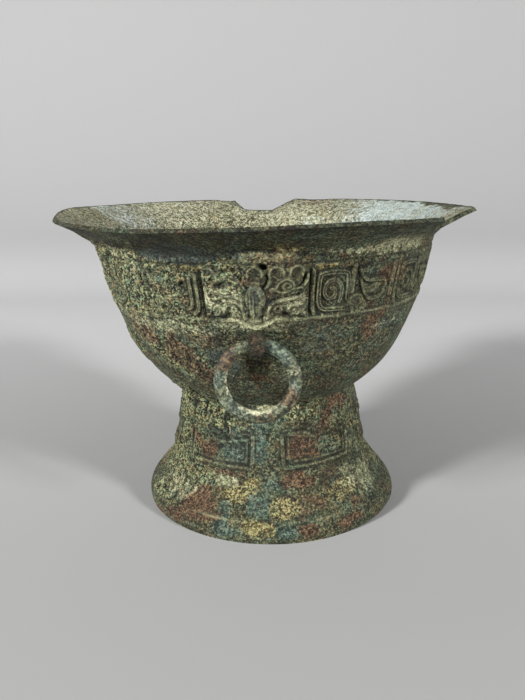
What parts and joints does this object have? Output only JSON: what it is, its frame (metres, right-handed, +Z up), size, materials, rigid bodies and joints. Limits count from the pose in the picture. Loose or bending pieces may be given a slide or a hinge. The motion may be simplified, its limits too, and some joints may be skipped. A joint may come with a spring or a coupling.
{
  "type": "bronze vase",
  "caption": "Ancient cast bronze vessel: a wide bowl with a flaring, broken lip on a hollow stepped foot, with animal-mask loops that carry loose rings.",
  "frame": {"origin": "on the surface it stands on, under the middle of the lip", "axes": "+Z up, -Y towards the front mask, +X to the right seen from the front"},
  "size_m": [0.24, 0.2378, 0.1776],
  "materials": {
    "vessel_bronze": "corroded cast bronze with green, red-brown and blue-grey patina",
    "ring_bronze": "corroded cast bronze, grey-green"
  },
  "bodies": {
    "vessel": {"vessel": "vessel_bronze"},
    "ring_front": {"ring_front": "ring_bronze"},
    "ring_back": {"ring_back": "ring_bronze"}
  },
  "joints": [
    {"name": "ring_front_swing", "type": "hinge", "parent": "vessel", "child": "ring_front", "pos_m": [-0.00385, -0.09086, 0.11707], "axis": [-0.9984, 0.0558, 0], "range_deg": [-26, 150]},
    {"name": "ring_back_swing", "type": "hinge", "parent": "vessel", "child": "ring_back", "pos_m": [0.0063, 0.09086, 0.11728], "axis": [0.9984, -0.0558, 0], "range_deg": [-26, 150]}
  ]
}
